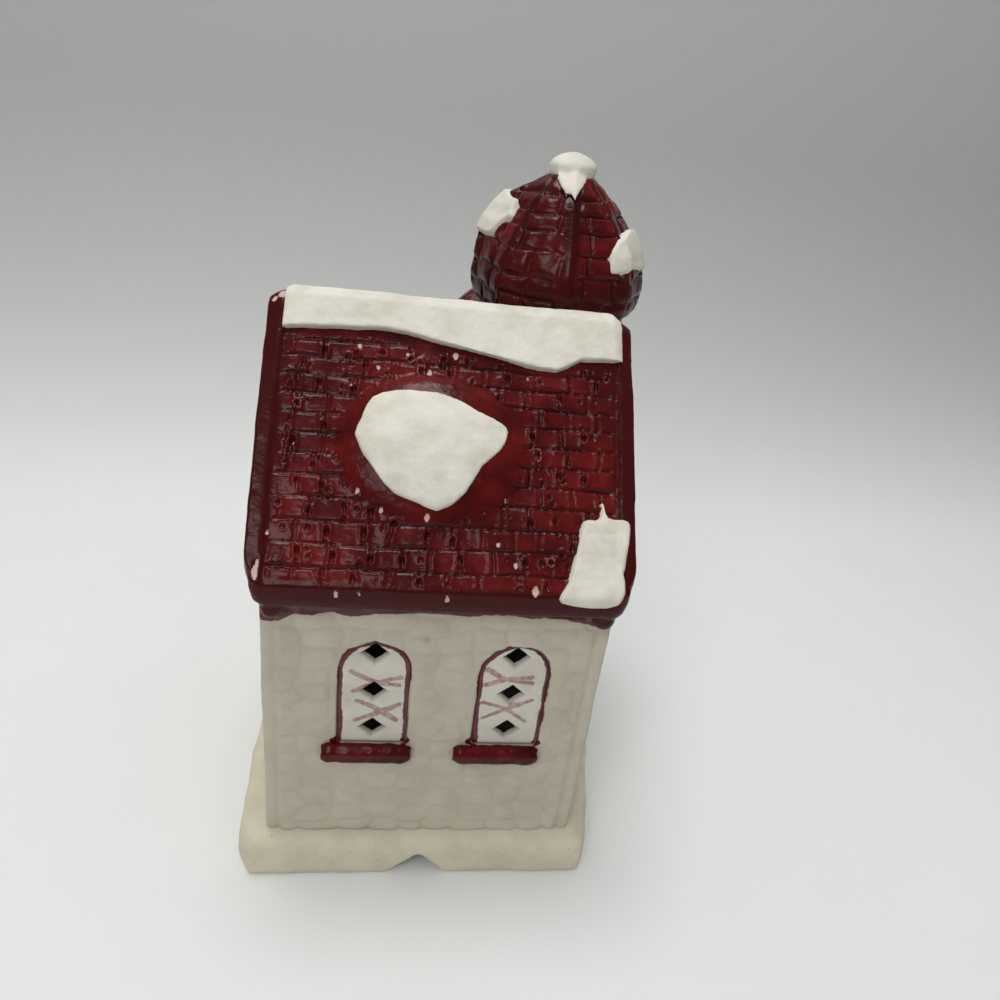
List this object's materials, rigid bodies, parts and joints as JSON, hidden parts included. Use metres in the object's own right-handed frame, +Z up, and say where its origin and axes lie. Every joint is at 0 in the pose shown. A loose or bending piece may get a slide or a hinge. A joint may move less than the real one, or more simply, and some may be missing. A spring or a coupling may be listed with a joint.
{
  "type": "christmas village house",
  "caption": "Painted bisque village house with a ridged brick roof, a domed corner tower and pierced windows, standing over a small lamp with a screw-in bulb.",
  "frame": {"origin": "middle of the overall box on the table, under the base", "axes": "+Z up from the table; +Y from the back wall, which has the notch for the lead, to the entrance; +X to the right as seen from the back, on the tower's side"},
  "size_m": [0.0851, 0.088, 0.1467],
  "materials": {
    "wall_bisque": "unglazed, slightly rough, with a faint rubble stone relief",
    "base_bisque": "unglazed, cream, slightly stained",
    "pane_bisque": "unglazed, pale, with thin red brush lines",
    "snow_bisque": "unglazed, warm white",
    "red_glaze": "glossy oxblood paint over brick relief",
    "gilt_paint": "dull gold paint",
    "lamp_plastic": "satin moulded white",
    "brass": "rolled sheet",
    "clear_glass": "clear blown glass",
    "black_glass": "black glass insulator",
    "pad_rubber": "matt",
    "steel": "plated",
    "tungsten": "drawn wire"
  },
  "bodies": {
    "lamp": {"lamp_stand": "lamp_plastic", "stand_plate": "lamp_plastic", "lamp_holder": "lamp_plastic", "screw_shell": "brass", "centre_contact": "brass", "contact_rivet": "brass", "cover_screw_1": "steel", "cover_screw_2": "steel", "cover_screw_3": "steel", "foot_pad_1": "pad_rubber", "foot_pad_2": "pad_rubber", "foot_pad_3": "pad_rubber"},
    "house": {"base_plinth": "base_bisque", "house_walls": "wall_bisque", "main_roof": "red_glaze", "ridge_snow": "snow_bisque", "roof_mound_snow": "snow_bisque", "eave_corner_snow": "snow_bisque", "front_gable_snow": "snow_bisque", "tower_shaft": "wall_bisque", "tower_cap": "red_glaze", "tower_cap_snow_left": "snow_bisque", "tower_cap_snow_right": "snow_bisque", "tower_snow_knob": "snow_bisque", "front_gable_pane": "pane_bisque", "front_gable_sill": "red_glaze", "front_door": "red_glaze", "door_knob": "gilt_paint", "door_hood": "snow_bisque", "door_step": "base_bisque", "back_left_pane": "pane_bisque", "back_left_sill": "red_glaze", "back_right_pane": "pane_bisque", "back_right_sill": "red_glaze", "left_rear_pane": "pane_bisque", "left_rear_sill": "red_glaze", "left_front_pane": "pane_bisque", "left_front_sill": "red_glaze", "right_pane": "pane_bisque", "right_sill": "red_glaze", "tower_front_pane": "pane_bisque", "tower_front_sill": "red_glaze", "tower_side_pane": "pane_bisque", "tower_side_sill": "red_glaze"},
    "bulb": {"bulb_cap": "brass", "bulb_insulator": "black_glass", "bulb_tip": "steel", "bulb_glass": "clear_glass", "bulb_stem": "clear_glass", "lead_wire_left": "steel", "lead_wire_right": "steel", "filament": "tungsten"}
  },
  "joints": [
    {"name": "house_lift", "type": "slide", "parent": "lamp", "child": "house", "axis": [0, 0, 1], "range_m": [0, 0.1]},
    {"name": "bulb_unscrew", "type": "hinge", "parent": "lamp", "child": "bulb", "pos_m": [-0.0019, -0.003, 0.02], "axis": [0, 0, 1], "range_deg": [0, 1260]}
  ]
}
